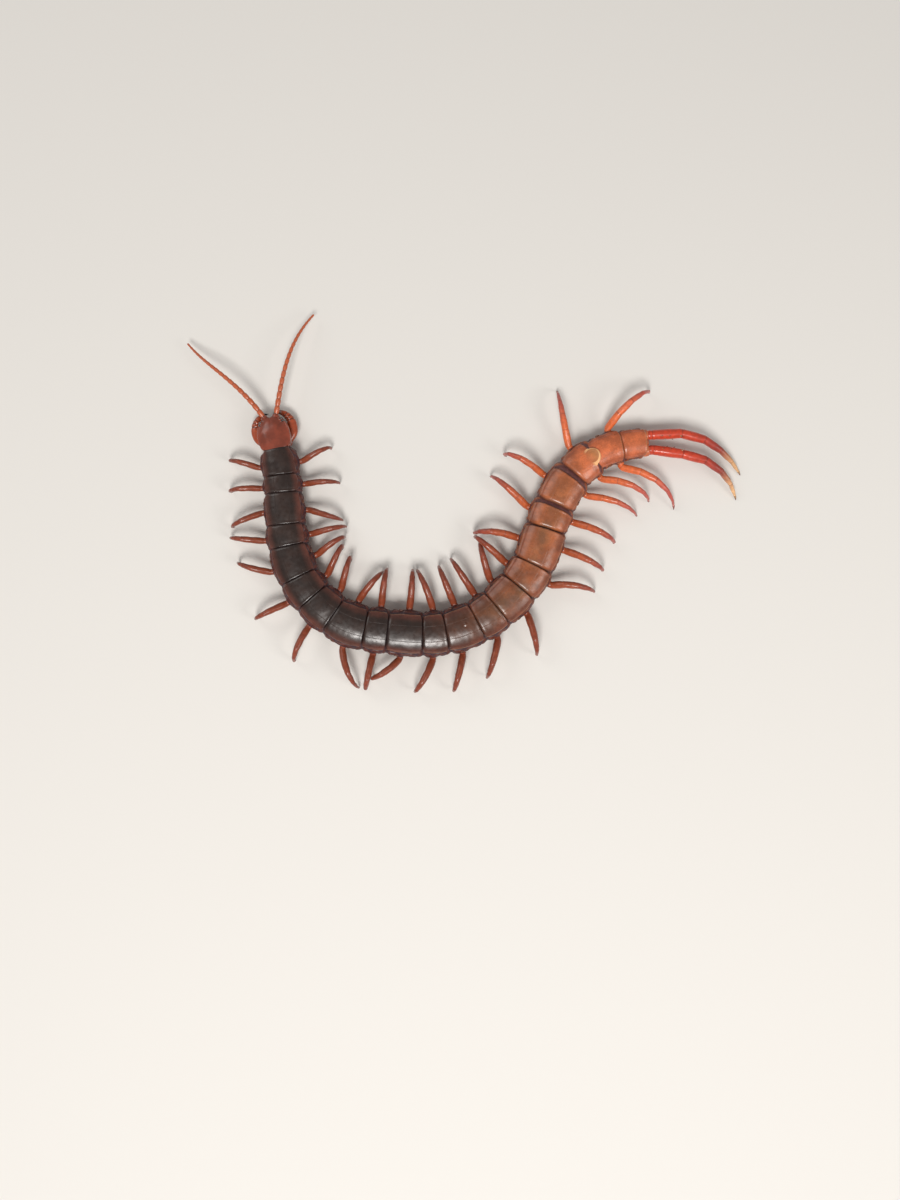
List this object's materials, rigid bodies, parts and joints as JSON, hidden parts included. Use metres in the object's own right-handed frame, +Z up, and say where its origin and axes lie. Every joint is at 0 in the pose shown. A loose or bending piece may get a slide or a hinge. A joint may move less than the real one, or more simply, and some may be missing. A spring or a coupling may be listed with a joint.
{
  "type": "giant centipede model",
  "caption": "Still, life-size giant centipede lying in a hooked curve on its feet, with plated trunk, paired legs, feelers and poison claws.",
  "frame": {"origin": "middle of the bounding box on the floor that the feet stand on", "axes": "+X to the right as seen from above in the pose of the picture, from the head side to the tail side; +Y towards the top of that view; +Z up"},
  "size_m": [0.1762, 0.1199, 0.0102],
  "materials": {
    "trunk_plate": "glossy hard plates, chocolate brown in front grading to warm mahogany at the tail",
    "head_shield": "glossy reddish brown head plates",
    "leg": "glossy orange red at the base, pinker and darker towards the claw",
    "forcipule": "glossy amber brown with near black claw tips",
    "antenna": "satin orange brown, downy beyond the first articles",
    "eye": "glossy black"
  },
  "bodies": {
    "root": {"head": "head_shield", "forcipule_base": "head_shield", "trunk_1": "trunk_plate", "trunk_2": "trunk_plate", "trunk_3": "trunk_plate", "trunk_4": "trunk_plate", "trunk_5": "trunk_plate", "trunk_6": "trunk_plate", "trunk_7": "trunk_plate", "forcipule_left": "forcipule", "eyes_left": "eye", "antenna_left": "antenna", "leg_left_01": "leg", "leg_left_02": "leg", "leg_left_03": "leg", "leg_left_04": "leg", "leg_left_05": "leg", "leg_left_06": "leg", "leg_left_07": "leg", "leg_left_08": "leg", "leg_left_09": "leg", "leg_left_10": "leg", "leg_left_11": "leg", "leg_left_12": "leg", "leg_left_13": "leg", "leg_left_14": "leg", "leg_left_15": "leg", "leg_left_16": "leg", "leg_left_17": "leg", "leg_left_18": "leg", "leg_left_19": "leg", "leg_left_20": "leg", "terminal_leg_left": "leg", "forcipule_right": "forcipule", "eyes_right": "eye", "antenna_right": "antenna", "leg_right_01": "leg", "leg_right_02": "leg", "leg_right_03": "leg", "leg_right_04": "leg", "leg_right_05": "leg", "leg_right_06": "leg", "leg_right_07": "leg", "leg_right_08": "leg", "leg_right_09": "leg", "leg_right_10": "leg", "leg_right_11": "leg", "leg_right_12": "leg", "leg_right_13": "leg", "leg_right_14": "leg", "leg_right_15": "leg", "leg_right_16": "leg", "leg_right_17": "leg", "leg_right_18": "leg", "leg_right_19": "leg", "leg_right_20": "leg", "terminal_leg_right": "leg"}
  },
  "joints": []
}
